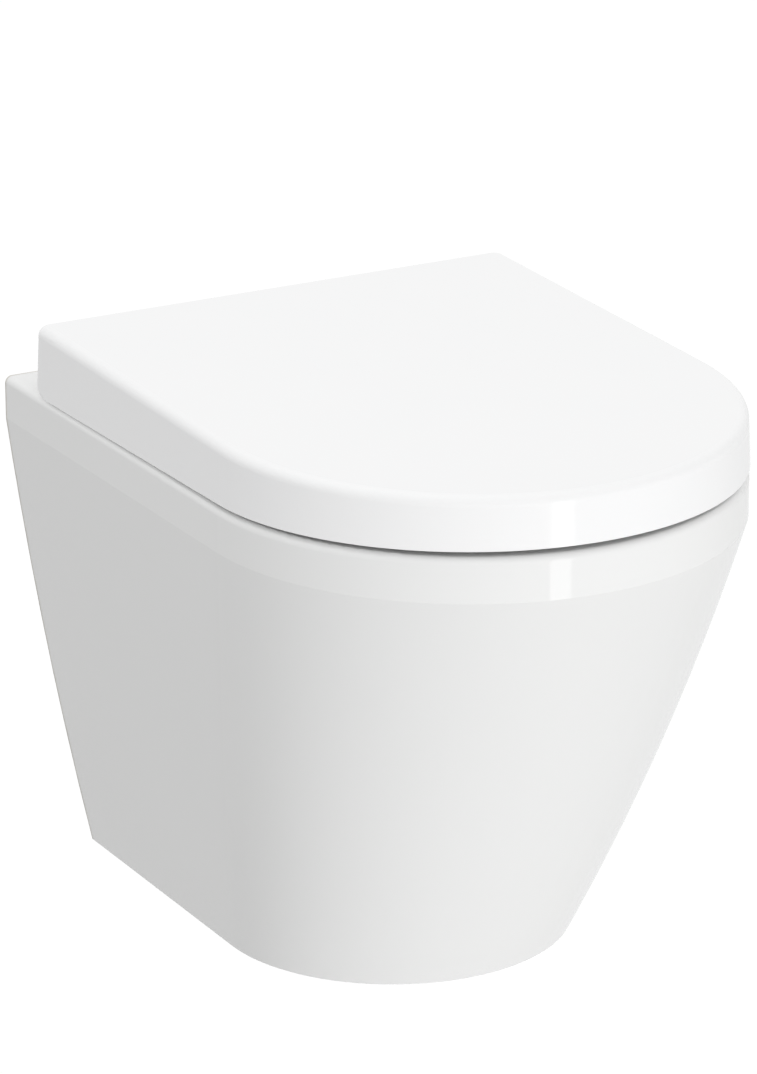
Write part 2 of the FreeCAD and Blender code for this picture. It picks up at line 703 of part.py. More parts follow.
# wall fixing
def make_wall_brackets():
    side = d.bracket_width
    block = box("bracket_block", side, d.bracket_depth, side,
                stud_x - side / 2, -d.bracket_depth, -side / 2)
    nut_room = cylinder("bracket_nut_room", d.bracket_bore_radius, d.bracket_depth,
                        stud_x, -d.bracket_floor, 0, INTO_PAN)
    stud_hole = cylinder("bracket_stud_hole", d.stud_hole_radius, d.bracket_floor + 2 * OVERCUT,
                         stud_x, OVERCUT, 0, INTO_PAN)
    screw_hole = cylinder("bracket_screw_hole", d.lock_screw_radius + d.screw_clearance, side / 2,
                          stud_x, -d.lock_screw_from_wall, -side / 2 - OVERCUT)
    return pair("wall_brackets", cut("wall_bracket", block, nut_room, stud_hole, screw_hole))


def make_stud_washers():
    disc = cylinder("washer_disc", d.washer_radius, d.washer_thickness,
                    stud_x, -d.bracket_floor, 0, INTO_PAN)
    hole = cylinder("washer_hole", d.stud_thread_radius, d.bracket_depth, stud_x, 0, 0, INTO_PAN)
    return pair("stud_washers", cut("stud_washer", disc, hole))


def make_stud_nuts():
    start = -(d.bracket_floor + d.washer_thickness)
    nut = hexagon("nut_hexagon", d.nut_flats, d.nut_thickness, stud_x, start, 0, INTO_PAN)
    hole = cylinder("nut_hole", d.stud_thread_radius, d.bracket_depth, stud_x, 0, 0, INTO_PAN)
    return pair("stud_nuts", cut("stud_nut", nut, hole))


def make_lock_screws():
    # the head bears on the pocket's lower wall and the shank ends inside the bracket
    head_top = -(d.bracket_width / 2 + d.bracket_clearance + d.pocket_wall)
    y = -d.lock_screw_from_wall
    shank = cylinder("lock_shank", d.lock_screw_radius, d.lock_screw_length, stud_x, y, head_top)
    head = cylinder("lock_head", d.lock_head_radius, d.lock_head_height,
                    stud_x, y, head_top - d.lock_head_height)
    socket = hexagon("lock_socket", d.lock_hex_radius * math.sqrt(3), d.lock_head_height / 2 + OVERCUT,
                     stud_x, y, head_top - d.lock_head_height - OVERCUT)
    return pair("lock_screws", cut("lock_screw", fuse("lock_solid", shank, head), socket))


def make_screw_caps():
    y = -d.lock_screw_from_wall
    plug_radius = d.access_radius - d.screw_clearance * 4
    disc = cylinder("cap_disc", d.access_radius + d.cap_flange, d.cap_thickness,
                    stud_x, y, base - d.cap_thickness)
    plug = cylinder("cap_plug", plug_radius, d.cap_plug_length, stud_x, y, base)
    inside = cylinder("cap_inside", plug_radius - d.cap_wall, d.cap_plug_length,
                      stud_x, y, base + OVERCUT)
    return pair("screw_caps", cut("screw_cap", fuse("cap_solid", disc, plug), inside))


# hinge on the deck
def make_base_gaskets():
    disc = cylinder("gasket_disc", d.plate_radius, d.gasket_thickness, hinge_x, hinge_y, rim)
    hole = cylinder("gasket_hole", d.deck_hole_radius, d.gasket_thickness + 2 * OVERCUT,
                    hinge_x, hinge_y, rim - OVERCUT)
    return pair("base_gaskets", cut("base_gasket", disc, hole))


def make_base_plates():
    # a turned disc with a bevelled rim
    level = rim + d.gasket_thickness
    lower = d.plate_thickness / 2
    disc = cylinder("plate_disc", d.plate_radius, lower, hinge_x, hinge_y, level)
    bevel = cone("plate_bevel", d.plate_radius, d.plate_radius - lower, lower,
                 hinge_x, hinge_y, level + lower)
    hole = cylinder("plate_hole", d.bolt_radius + d.screw_clearance, d.plate_thickness + 2 * OVERCUT,
                    hinge_x, hinge_y, level - OVERCUT)
    return pair("hinge_base_plates", cut("hinge_base_plate", fuse("plate_solid", disc, bevel), hole))


def make_posts():
    seat = rim + d.gasket_thickness + d.plate_thickness
    top = hinge_z + d.post_top
    dome = d.post_radius / 3
    shank = cylinder("post_shank", d.post_radius, top - dome - seat, hinge_x, hinge_y, seat)
    nose = cone("post_nose", d.post_radius, d.post_radius - dome, dome, hinge_x, hinge_y, top - dome)
    bolt = cylinder("post_bolt", d.bolt_radius, seat - rim + d.bolt_length,
                    hinge_x, hinge_y, rim - d.bolt_length)
    groove_level = hinge_z - d.post_groove_height / 2
    groove_ring = cylinder("groove_ring", d.post_radius + OVERCUT, d.post_groove_height,
                           hinge_x, hinge_y, groove_level)
    groove_core = cylinder("groove_core", d.post_radius - d.post_groove_depth, d.post_groove_height,
                           hinge_x, hinge_y, groove_level)
    groove = cut("post_groove", groove_ring, groove_core)
    return pair("hinge_posts", cut("hinge_post", fuse("post_solid", shank, nose, bolt), groove))


def make_bushes():
    # a soft sleeve in the deck hole that the cone nut has spread below the deck
    sleeve = cylinder("bush_sleeve", d.deck_hole_radius - d.screw_clearance * 2, d.bush_length,
                      hinge_x, hinge_y, rim - d.bush_length)
    spread_length = (d.bush_length - d.deck_thickness) / 2
    spread = cone("bush_spread", d.deck_hole_radius, d.deck_hole_radius + d.bush_bulge, spread_length,
                  hinge_x, hinge_y, rim - d.bush_length)
    tail = cone("bush_tail", d.deck_hole_radius + d.bush_bulge, d.deck_hole_radius, spread_length,
                hinge_x, hinge_y, deck_under - spread_length)
    hole = cylinder("bush_hole", d.bolt_radius + d.screw_clearance, d.bush_length + 2 * OVERCUT,
                    hinge_x, hinge_y, rim - d.bush_length - OVERCUT)
    return pair("expansion_bushes", cut("expansion_bush", fuse("bush_solid", sleeve, spread, tail), hole))


def make_cone_nuts():
    level = rim - d.bush_length - d.cone_length
    nut = cone("cone_solid", d.deck_hole_radius - d.screw_clearance * 2, d.cone_tip_radius, d.cone_length,
               hinge_x, hinge_y, level)
    hole = cylinder("cone_hole", d.bolt_radius + d.screw_clearance, d.cone_length + 2 * OVERCUT,
                    hinge_x, hinge_y, level - OVERCUT)
    return pair("cone_nuts", cut("cone_nut", nut, hole))


# hinge unit that lifts off
def make_hinge_body(name):
    # right hand hinge body: a barrel along the axis on a foot round the post
    start = hinge_x - d.barrel_inner
    length = d.barrel_inner + d.barrel_outer
    edge = d.barrel_edge
    barrel = cylinder(name + "_barrel", d.barrel_radius, length - edge * 2,
                      start + edge, hinge_y, hinge_z, ALONG_X)
    inner_end = cone(name + "_inner_end", d.barrel_radius - edge, d.barrel_radius, edge,
                     start, hinge_y, hinge_z, ALONG_X)
    outer_end = cone(name + "_outer_end", d.barrel_radius, d.barrel_radius - edge, edge,
                     start + length - edge, hinge_y, hinge_z, ALONG_X)
    foot_level = rim + d.gasket_thickness + d.plate_thickness + d.foot_gap
    foot = cylinder(name + "_foot", d.foot_radius, hinge_z - foot_level, hinge_x, hinge_y, foot_level)
    post_bore = cylinder(name + "_post_bore", d.post_radius + d.post_clearance,
                         d.hinge_height + d.barrel_radius, hinge_x, hinge_y, foot_level - OVERCUT)
    spring_seat = hinge_z - d.spring_floor
    button_bore = cylinder(name + "_button_bore", d.button_radius + d.button_clearance,
                           d.spring_floor + d.barrel_radius + OVERCUT, hinge_x, hinge_y, spring_seat)
    pin_bore = cylinder(name + "_pin_bore", d.pin_radius + d.screw_clearance, d.pin_depth + OVERCUT,
                        start - OVERCUT, hinge_y, hinge_z, ALONG_X)
    damper_bore = cylinder(name + "_damper_bore", d.damper_radius + d.screw_clearance,
                           d.damper_length + OVERCUT, start + length - d.damper_length,
                           hinge_y, hinge_z, ALONG_X)
    solid = fuse(name + "_solid", barrel, inner_end, outer_end, foot)
    return cut(name, solid, post_bore, button_bore, pin_bore, damper_bore)


def make_damper(name):
    # cartridge in the outer end of the barrel, bored for its shaft
    start = hinge_x + d.barrel_outer - d.damper_length
    case = cylinder(name + "_case", d.damper_radius, d.damper_length, start, hinge_y, hinge_z, ALONG_X)
    bore = cylinder(name + "_bore", d.pin_radius + d.screw_clearance, d.shaft_depth + OVERCUT,
                    start + d.damper_length - d.shaft_depth, hinge_y, hinge_z, ALONG_X)
    return cut(name, case, bore)


def make_damper_shaft(name):
    # turns with the knuckle outside the barrel; two flats key it there
    face = hinge_x + d.barrel_outer
    keyed = d.knuckle_gap + d.knuckle_width - d.pin_cover
    shaft = cylinder(name + "_round", d.pin_radius, d.shaft_depth + keyed - d.screw_clearance * 4,
                     face - d.shaft_depth + d.screw_clearance * 4, hinge_y, hinge_z, ALONG_X)
    slab = box(name + "_slab", keyed + OVERCUT, d.pin_radius * 2, d.pin_radius,
               face + d.knuckle_gap, hinge_y - d.pin_radius, hinge_z + d.pin_radius * 0.7)
    lower = box(name + "_lower_slab", keyed + OVERCUT, d.pin_radius * 2, d.pin_radius,
                face + d.knuckle_gap, hinge_y - d.pin_radius, hinge_z - d.pin_radius * 1.7)
    return cut(name, shaft, slab, lower)


def shaft_socket(name):
    # the keyed hole in the knuckle, for the flats of the shaft
    fit = d.screw_clearance
    face = hinge_x + d.barrel_outer + d.knuckle_gap
    depth = d.knuckle_width - d.pin_cover + fit
    round_part = cylinder(name + "_round", d.pin_radius + fit, depth + OVERCUT, face - OVERCUT,
                          hinge_y, hinge_z, ALONG_X)
    flats = box(name + "_flats", depth + OVERCUT * 2, d.pin_radius * 2 + OVERCUT,
                d.pin_radius * 1.4 + fit * 2, face - OVERCUT,
                hinge_y - d.pin_radius - OVERCUT / 2, hinge_z - d.pin_radius * 0.7 - fit)
    both = doc.addObject("Part::Common", name)
    both.Base = round_part
    both.Tool = flats
    return both


def make_hinge_pin(name):
    # plain pin from the inner end of the barrel into the knuckle beside it
    start = hinge_x - d.barrel_inner - d.knuckle_gap - d.knuckle_width + d.pin_cover
    length = d.pin_depth + d.knuckle_gap + d.knuckle_width - d.pin_cover
    return cylinder(name, d.pin_radius, length - d.screw_clearance * 2, start, hinge_y, hinge_z, ALONG_X)


def pin_socket(name):
    end = hinge_x - d.barrel_inner - d.knuckle_gap - d.knuckle_width + d.pin_cover
    return cylinder(name, d.pin_radius + d.screw_clearance, d.knuckle_width + OVERCUT,
                    end - d.screw_clearance * 4, hinge_y, hinge_z, ALONG_X)


def make_release_button(name):
    # a cap with a skirt that rides round the head of the post
    top = hinge_z + button_top
    skirt_end = hinge_z + d.spring_top
    edge = d.button_edge
    body = cylinder(name + "_body", d.button_radius, top - edge - skirt_end, hinge_x, hinge_y, skirt_end)
    crown = cone(name + "_crown", d.button_radius, d.button_radius - edge, edge, hinge_x, hinge_y, top - edge)
    inside = cylinder(name + "_inside", d.post_radius + d.post_clearance * 2,
                      top - d.button_roof - skirt_end + OVERCUT, hinge_x, hinge_y, skirt_end - OVERCUT)
    return cut(name, fuse(name + "_solid", body, crown), inside)


def make_release_springs():
    # the coils fill this sleeve between the hinge body and the button's skirt
    inner = d.post_radius + d.post_clearance * 2
    level = hinge_z - d.spring_floor
    height = d.spring_floor + d.spring_top
    sleeve = cylinder("spring_sleeve", inner + d.spring_wall, height, hinge_x, hinge_y, level)
    hole = cylinder("spring_hole", inner, height + 2 * OVERCUT, hinge_x, hinge_y, level - OVERCUT)
    return pair("release_springs", cut("release_spring", sleeve, hole))


# seat ring
def knuckle(name, radius, inner_side, front, arm_height):
    # a rounded lug round the axis with an arm towards the nose; inner_side picks the barrel's inner end
    width = d.knuckle_width
    if inner_side:
        start = hinge_x - d.barrel_inner - d.knuckle_gap - width
    else:
        start = hinge_x + d.barrel_outer + d.knuckle_gap
    eye = cylinder(name + "_eye", radius, width, start, hinge_y, hinge_z, ALONG_X)
    arm = box(name + "_arm", width, front + hinge_y, arm_height, start, -front, hinge_z - radius)
    return fuse(name, eye, arm)


def make_seat_ring():
    width = d.rim_width - d.seat_inset * 2
    front = lid_reach - d.seat_inset
    level = rim + d.seat_lift
    top = level + d.seat_thickness
    body = new_body("seat_body")
    ring_outline = outline(body, "seat_outline", level, width, front, seat_rear)
    ring = pad(body, "ring", ring_outline, d.seat_thickness)
    doc.recompute()
    rear_corners = edges_where(ring, upright_at(-seat_rear))
    corners = fillet(body, "seat_corners", ring, rear_corners, d.seat_corner_radius)
    opening = width - d.seat_breadth * 2
    opening_front = front - d.seat_nose_breadth
    opening_rear = opening_front - opening - d.seat_flank
    mouth = oval(body, "seat_mouth", level, opening, opening_front, opening_rear)
    opened = pocket_through(body, "seat_opening", mouth)
    doc.recompute()
    half = plain(opening) / 2
    inner = edges_where(opened, lambda e: at_level(top)(e) and e.BoundBox.XMax < half + 1
                        and e.BoundBox.XMin > -half - 1 and e.BoundBox.YMax < 1 - plain(opening_rear))
    soft = fillet(body, "seat_inner_edge", opened, inner, d.seat_inner_radius)
    doc.recompute()
    outer = edges_where(soft, lambda e: at_level(top)(e) and (e.BoundBox.XMax > half + 20
                        or e.BoundBox.XMin < -half - 20 or e.BoundBox.YMax > 5 - plain(opening_rear)))
    body.Tip = fillet(body, "seat_outer_edge", soft, outer, d.seat_outer_radius)
    arm_reach = seat_rear + d.seat_outer_radius + d.pin_cover
    right = knuckle("seat_right_knuckle", d.knuckle_radius, False, arm_reach, d.seat_arm_height)
    left = mirrored("seat_left_knuckle",
                    knuckle("seat_inner_knuckle", d.knuckle_radius, True, arm_reach, d.seat_arm_height))
    pegs = [cylinder(f"seat_peg_hole_{n}", d.peg_radius + d.screw_clearance, d.peg_length + OVERCUT,
                     x, y, level - OVERCUT) for n, (x, y) in enumerate(bumper_places())]
    return cut("seat_ring", fuse("seat_solid", body, right, left), shaft_socket("seat_shaft_socket"),
               mirrored("seat_pin_socket_left", pin_socket("seat_pin_socket")), *pegs)


def bumper_places():
    rear = [(side, -d.bumper_back) for side in (d.bumper_side, -d.bumper_side)]
    front = [(side, -d.bumper_front) for side in (d.bumper_front_side, -d.bumper_front_side)]
    return rear + front


def make_seat_bumpers():
    # pads under the ring, each with a peg pushed up into it
    pads = []
    height = d.seat_lift - d.bumper_gap
    foot = rim + d.bumper_gap
    half_run = (d.bumper_length - d.bumper_width) / 2
    for n, (x, y) in enumerate(bumper_places()):
        block = box(f"bumper_block_{n}", d.bumper_width, half_run * 2, height,
                    x - d.bumper_width / 2, y - half_run, foot)
        ends = [cylinder(f"bumper_end_{n}_{k}", d.bumper_width / 2, height, x, y + half_run * k, foot)
                for k in (-1, 1)]
        peg = cylinder(f"bumper_peg_{n}", d.peg_radius, d.peg_length - d.screw_clearance,
                       x, y, rim + d.seat_lift)
        pads.append(fuse(f"seat_bumper_{n}", block, *ends, peg))
    group = doc.addObject("Part::Compound", "seat_bumpers")
    group.Links = pads
    return group


# lid
def slope_at(from_wall, start, change):
    # height above the rim on a line that changes evenly from the lid's back to its nose
    return start + change * (from_wall - d.lid_back) / (lid_reach - d.lid_back)


def behind_and_above(body, name, inset):
    # everything behind the lid's back and above its sloping top, both moved in by an inset
    back = d.lid_back + inset
    behind = d.lid_back - 10 * OVERCUT
    beyond = lid_reach + 4 * OVERCUT
    floor = rim - 10 * OVERCUT
    ceiling = rim + d.lid_back_height * 2
    back_level = rim + slope_at(back, d.lid_back_height, -d.lid_top_fall) - inset
    nose_level = rim + slope_at(beyond, d.lid_back_height, -d.lid_top_fall) - inset
    sketch = sketch_on(body, name, "YZ_Plane")
    polygon(sketch, [(back, floor), (back, back_level), (beyond, nose_level), (beyond, ceiling),
                     (behind, ceiling), (behind, floor)])
    return sketch


def polygon(sketch, corners):
    # closed straight outline through corners given as distance from the wall and level
    points = [Vector(-plain(y), plain(z), 0) for y, z in corners]
    count = len(points)
    sketch.addGeometry([Part.LineSegment(points[n], points[(n + 1) % count]) for n in range(count)])
    tie(sketch, *[("Coincident", n, 2, (n + 1) % count, 1) for n in range(count)])
    for n, (y, z) in enumerate(corners):
        dimension(sketch, "DistanceX", f"from_wall_{n}", y, n, 1, -1, 1)
        dimension(sketch, "DistanceY", f"level_{n}", z, -1, 1, n, 1)


def below_line(body, name):
    # everything below the lid's lower edge, with the rounded heel at the back
    back = d.lid_back
    far = lid_reach + 4 * OVERCUT
    near = back - 4 * OVERCUT
    floor = rim - 10 * OVERCUT
    heel = d.lid_heel_radius
    heel_level = rim + d.lid_gap
    arc_end = heel_level + heel
    far_level = rim + slope_at(far, d.lid_gap, d.lid_gap_rise)
    sketch = sketch_on(body, name, "YZ_Plane")
    points = [
        (back, arc_end),
        (near, arc_end),
        (near, floor),
        (far, floor),
        (far, far_level),
        (back + heel, heel_level),
    ]
    spots = [Vector(-plain(y), plain(z), 0) for y, z in points]
    sketch.addGeometry([Part.LineSegment(spots[n], spots[n + 1]) for n in range(5)])
    centre = Vector(-plain(back + heel), plain(arc_end), 0)
    sketch.addGeometry(Part.ArcOfCircle(Part.Circle(centre, Vector(0, 0, 1), plain(heel)), -math.pi / 2, 0))
    tie(sketch, *[("Coincident", n, 2, n + 1, 1) for n in range(4)])
    tie(sketch, ("Coincident", 4, 2, 5, 1), ("Coincident", 5, 2, 0, 1))
    for n, (y, z) in enumerate(points[:5]):
        dimension(sketch, "DistanceX", f"from_wall_{n}", y, n, 1, -1, 1)
        dimension(sketch, "DistanceY", f"level_{n}", z, -1, 1, n, 1)
    dimension(sketch, "Radius", "heel", heel, 5)
    dimension(sketch, "DistanceX", "heel_from_wall", back + heel, 5, 1, -1, 1)
    dimension(sketch, "DistanceY", "heel_level", heel_level, -1, 1, 5, 1)
    return sketch


def lid_form(name, inset, start, edge_radius):
    # drafted lid outline with a plumb back and a sloping top; the inset is zero for the outside
    body = new_body(name)
    height = rim + d.lid_back_height * 1.5 - start
    foot = outline(body, name + "_foot", start, d.rim_width - inset * 2, lid_reach - inset,
                   d.lid_back - 5 * OVERCUT)
    drafted = pad(body, name + "_drafted", foot, height)
    bind(drafted, TaperAngle=-slope_angle(d.lid_draft, d.lid_back_height))
    trimmed = pocket_through(body, name + "_trimmed", behind_and_above(body, name + "_behind", inset))
    doc.recompute()
    back = d.lid_back + inset
    corner = d.lid_corner_radius - inset / 2
    corners = fillet(body, name + "_corners", trimmed, edges_where(trimmed, upright_at(-back)), corner)
    doc.recompute()
    top_edges = edges_where(corners, round_the_top(corners))
    body.Tip = fillet(body, name + "_edge", corners, top_edges, edge_radius)
    return body


def lid_boss(name, inner_side):
    # a plate from the lid's top down round the axis
    width = d.knuckle_width
    if inner_side:
        start = hinge_x - d.barrel_inner - d.knuckle_gap - width
    else:
        start = hinge_x + d.barrel_outer + d.knuckle_gap
    eye = cylinder(name + "_eye", d.boss_radius, width, start, hinge_y, hinge_z, ALONG_X)
    height = d.lid_back_height - d.lid_wall - d.hinge_height + OVERCUT
    web = box(name + "_web", width, d.boss_radius * 2, height, start, hinge_y - d.boss_radius, hinge_z)
    return fuse(name, eye, web)


def make_lid():
    outside = lid_form("lid_outside", d.lid_wall * 0, rim, d.lid_edge_radius)
    outside.Tip = pocket_through(outside, "lid_underside", below_line(outside, "lid_below"))
    inside = lid_form("lid_inside", d.lid_wall, rim - 5 * OVERCUT, d.lid_hollow_radius)
    notch_half = d.plate_radius + d.notch_side
    notch_top = d.lid_back_height - d.lid_wall
    notch = box("lid_notch", notch_half * 2, d.lid_wall + 2 * OVERCUT, notch_top + OVERCUT,
                hinge_x - notch_half, -d.lid_back - d.lid_wall - OVERCUT, rim - OVERCUT)
    shell = cut("lid_shell", outside, inside, notch, mirrored("lid_notch_left", notch))
    left = mirrored("lid_left_boss", lid_boss("lid_outer_boss", False))
    right = lid_boss("lid_right_boss", True)
    pegs = [cylinder(f"lid_peg_hole_{n}", d.peg_radius + d.screw_clearance, d.peg_length, side,
                     -d.lid_bumper_from_wall, lid_underside() - d.peg_length + d.lid_wall / 2)
            for n, side in enumerate((d.lid_bumper_side, -d.lid_bumper_side))]
    return cut("lid", fuse("lid_solid", shell, left, right), pin_socket("lid_pin_socket"),
               mirrored("lid_shaft_socket_left", shaft_socket("lid_shaft_socket")), *pegs)


def lid_underside():
    # level of the shell's inner face over the lid bumpers
    return rim + slope_at(d.lid_bumper_from_wall, d.lid_back_height, -d.lid_top_fall) - d.lid_wall


def make_lid_bumpers():
    seat_top = rim + d.seat_lift + d.seat_thickness
    slope_slack = d.lid_top_fall * d.lid_bumper_radius / (lid_reach - d.lid_back)
    foot = seat_top + d.bumper_gap
    height = lid_underside() - slope_slack - foot
    y = -d.lid_bumper_from_wall
    cushion = cylinder("lid_cushion", d.lid_bumper_radius, height, d.lid_bumper_side, y, foot)
    peg = cylinder("lid_peg", d.peg_radius, height + slope_slack + d.lid_wall / 2 - d.screw_clearance,
                   d.lid_bumper_side, y, foot)
    return pair("lid_bumpers", fuse("lid_bumper", cushion, peg))


def labelled(obj, node):
    # a helper may hold the node's name already, so it gives way
    for other in doc.Objects:
        if other.Label == node and other is not obj:
            other.Label = node + "_shape"
    obj.Label = node
    return obj


NODES = {
    "pan": make_pan(),
    "inlet_seal": make_inlet_seal(),
    "wall_brackets": make_wall_brackets(),
    "stud_washers": make_stud_washers(),
    "stud_nuts": make_stud_nuts(),
    "lock_screws": make_lock_screws(),
    "screw_caps": make_screw_caps(),
    "base_gaskets": make_base_gaskets(),
    "hinge_base_plates": make_base_plates(),
    "hinge_posts": make_posts(),
    "expansion_bushes": make_bushes(),
    "cone_nuts": make_cone_nuts(),
    "right_hinge_body": make_hinge_body("right_hinge"),
    "left_hinge_body": mirrored("left_hinge", make_hinge_body("left_hinge_source")),
    "seat_damper": make_damper("seat_damper"),
    "lid_damper": mirrored("lid_damper", make_damper("lid_damper_source")),
    "seat_damper_shaft": make_damper_shaft("seat_shaft"),
    "lid_damper_shaft": mirrored("lid_shaft", make_damper_shaft("lid_shaft_source")),
    "lid_hinge_pin": make_hinge_pin("lid_pin"),
    "seat_hinge_pin": mirrored("seat_pin", make_hinge_pin("seat_pin_source")),
    "right_release_button": make_release_button("right_button"),
    "left_release_button": mirrored("left_button", make_release_button("left_button_source")),
    "release_springs": make_release_springs(),
    "seat_ring": make_seat_ring(),
    "seat_bumpers": make_seat_bumpers(),
    "lid": make_lid(),
    "lid_bumpers": make_lid_bumpers(),
}

for node, obj in NODES.items():
    labelled(obj, node)
doc.recompute()

for obj in doc.Objects:
    if "Invalid" in obj.State or "Error" in obj.State:
        raise RuntimeError(f"{obj.Name} did not compute: {obj.State}")
for node, obj in NODES.items():
    if obj.Shape.isNull() or not obj.Shape.isValid():
        raise RuntimeError(f"{node} has no valid shape")

os.makedirs("parts", exist_ok=True)
for node, obj in NODES.items():
    obj.Shape.exportStep(f"parts/{node}.step")
    box_of = obj.Shape.BoundBox
    print(f"{node}: {len(obj.Shape.Solids)} solids, {obj.Shape.Volume / 1000:.1f} cm3, "
          f"x {box_of.XMin:.1f}..{box_of.XMax:.1f} y {box_of.YMin:.1f}..{box_of.YMax:.1f} "
          f"z {box_of.ZMin:.1f}..{box_of.ZMax:.1f}")
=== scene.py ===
import json
import math
import bmesh
import bpy
from mathutils import Matrix, Vector


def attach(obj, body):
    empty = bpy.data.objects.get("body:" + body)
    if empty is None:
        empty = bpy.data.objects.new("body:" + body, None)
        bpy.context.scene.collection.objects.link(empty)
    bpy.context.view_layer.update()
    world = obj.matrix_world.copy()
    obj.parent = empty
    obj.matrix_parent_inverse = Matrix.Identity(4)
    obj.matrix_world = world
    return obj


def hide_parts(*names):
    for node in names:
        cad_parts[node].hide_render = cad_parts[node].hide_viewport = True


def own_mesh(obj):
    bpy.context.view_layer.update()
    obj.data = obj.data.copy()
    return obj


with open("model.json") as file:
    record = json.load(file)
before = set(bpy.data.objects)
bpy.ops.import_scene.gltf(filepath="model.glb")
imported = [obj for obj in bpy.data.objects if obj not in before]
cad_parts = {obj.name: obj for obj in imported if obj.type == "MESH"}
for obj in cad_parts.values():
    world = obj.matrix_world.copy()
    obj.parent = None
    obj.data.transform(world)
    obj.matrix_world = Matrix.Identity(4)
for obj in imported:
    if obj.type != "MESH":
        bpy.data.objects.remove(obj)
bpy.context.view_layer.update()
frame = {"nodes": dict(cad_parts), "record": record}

# metres; the wall is y = 0, the nose points to -Y, z = 0 is the level of the wall studs
scene = bpy.context.scene
nodes = frame["nodes"]
print("stage: frame loaded,", len(nodes), "nodes")

finishes = {
    "vitreous_china": {"kind": "glaze", "color": (0.812, 0.815, 0.811),
                       "tint": (0.828, 0.829, 0.824), "rough": (0.035, 0.075),
                       "grain": 38.0, "bump": 0.00005},
    "seat_plastic": {"kind": "gloss", "color": (0.878, 0.88, 0.884), "tint": (0.888, 0.888, 0.888),
                     "rough": (0.06, 0.11), "grain": 120.0, "bump": 0.00001},
    "cap_plastic": {"kind": "gloss", "color": (0.86, 0.86, 0.85), "tint": (0.88, 0.88, 0.86),
                    "rough": (0.2, 0.3), "grain": 160.0, "bump": 0.00002},
    "bumper_rubber": {"kind": "rubber", "color": (0.72, 0.72, 0.69), "tint": (0.78, 0.78, 0.76),
                      "rough": (0.45, 0.6), "grain": 900.0, "bump": 0.00005},
    "clear_rubber": {"kind": "rubber", "color": (0.55, 0.56, 0.56), "tint": (0.62, 0.63, 0.63),
                     "rough": (0.35, 0.5), "grain": 900.0, "bump": 0.00004},
    "black_rubber": {"kind": "rubber", "color": (0.016, 0.016, 0.018), "tint": (0.03, 0.03, 0.032),
                     "rough": (0.6, 0.8), "grain": 1200.0, "bump": 0.00008},
    "chrome_hinge": {"kind": "metal", "color": (0.72, 0.73, 0.74), "tint": (0.78, 0.79, 0.8),
                     "rough": (0.05, 0.12), "grain": 90.0, "bump": 0.00001},
    "chrome_button": {"kind": "metal", "color": (0.74, 0.75, 0.76), "tint": (0.8, 0.81, 0.82),
                      "rough": (0.04, 0.1), "grain": 90.0, "bump": 0.00001},
    "stainless": {"kind": "brushed", "color": (0.6, 0.61, 0.62), "tint": (0.68, 0.69, 0.7),
                  "rough": (0.24, 0.42), "grain": 700.0, "bump": 0.00004},
    "zinc_steel": {"kind": "metal", "color": (0.5, 0.52, 0.55), "tint": (0.62, 0.64, 0.63),
                   "rough": (0.3, 0.5), "grain": 260.0, "bump": 0.00005},
    "brass_nut": {"kind": "metal", "color": (0.6, 0.45, 0.2), "tint": (0.68, 0.53, 0.27),
                  "rough": (0.25, 0.4), "grain": 400.0, "bump": 0.00004},
    "damper_plastic": {"kind": "matte", "color": (0.2, 0.205, 0.21), "tint": (0.24, 0.245, 0.25),
                       "rough": (0.4, 0.55), "grain": 1100.0, "bump": 0.00005},
    "bracket_nylon": {"kind": "matte", "color": (0.022, 0.024, 0.026), "tint": (0.035, 0.037, 0.04),
                      "rough": (0.45, 0.62), "grain": 900.0, "bump": 0.00006},
}

# scales and spans that all finishes share; a finish's own grain is its fine noise scale
texture = {
    "ior": 1.5,
    "broadShare": 0.15,                 # the slow waves' scale, as a share of the grain
    "broadDetail": 3.0,
    "fineDetail": 4.0,
    "roughSpan": (0.25, 0.75),          # noise values that run from smoothest to roughest
    "rippleStrength": 0.6,
    "brushStretch": (0.06, 1.0, 1.0),   # draws the brushed grain out along X
    "hairShare": 9.0,
    "hairDetail": 6.0,
    "hairSpan": (0.55, 0.7),
    "hairRough": 0.06,
    "pitShare": 2.6,
    "pitDetail": 2.0,
}

glaze = {
    "biscuit": (0.66, 0.645, 0.605),    # bare fired clay where the pan meets the wall
    "biscuitRough": 0.82,
    "edgeFrom": -0.0024,                # y where the glaze starts to thin
    "edgeTo": -0.0011,
    "edgeWander": 0.0011,
    "wanderScale": 70.0,
    "wanderDetail": 2.0,
    "speckScale": 330.0,
    "speckSize": 0.035,
    "speckTone": (0.7, 0.69, 0.66),
}


def noiseNode(tree, vector, scale, detail):
    noise = tree.nodes.new("ShaderNodeTexNoise")
    noise.inputs["Scale"].default_value = scale
    noise.inputs["Detail"].default_value = detail
    tree.links.new(vector, noise.inputs["Vector"])
    return noise.outputs["Fac"]


def rangeNode(tree, value, fromRange, toRange):
    span = tree.nodes.new("ShaderNodeMapRange")
    span.inputs["From Min"].default_value, span.inputs["From Max"].default_value = fromRange
    span.inputs["To Min"].default_value, span.inputs["To Max"].default_value = toRange
    tree.links.new(value, span.inputs["Value"])
    return span.outputs["Result"]


def mixColor(tree, amount, first, second):
    mix = tree.nodes.new("ShaderNodeMix")
    mix.data_type = "RGBA"
    tree.links.new(amount, mix.inputs[0])
    for socket, color in ((mix.inputs[6], first), (mix.inputs[7], second)):
        if isinstance(color, tuple):
            socket.default_value = (*color, 1)
        else:
            tree.links.new(color, socket)
    return mix.outputs[2]


def mixValue(tree, amount, first, second):
    mix = tree.nodes.new("ShaderNodeMix")
    tree.links.new(amount, mix.inputs[0])
    tree.links.new(first, mix.inputs[2])
    mix.inputs[3].default_value = second
    return mix.outputs[0]


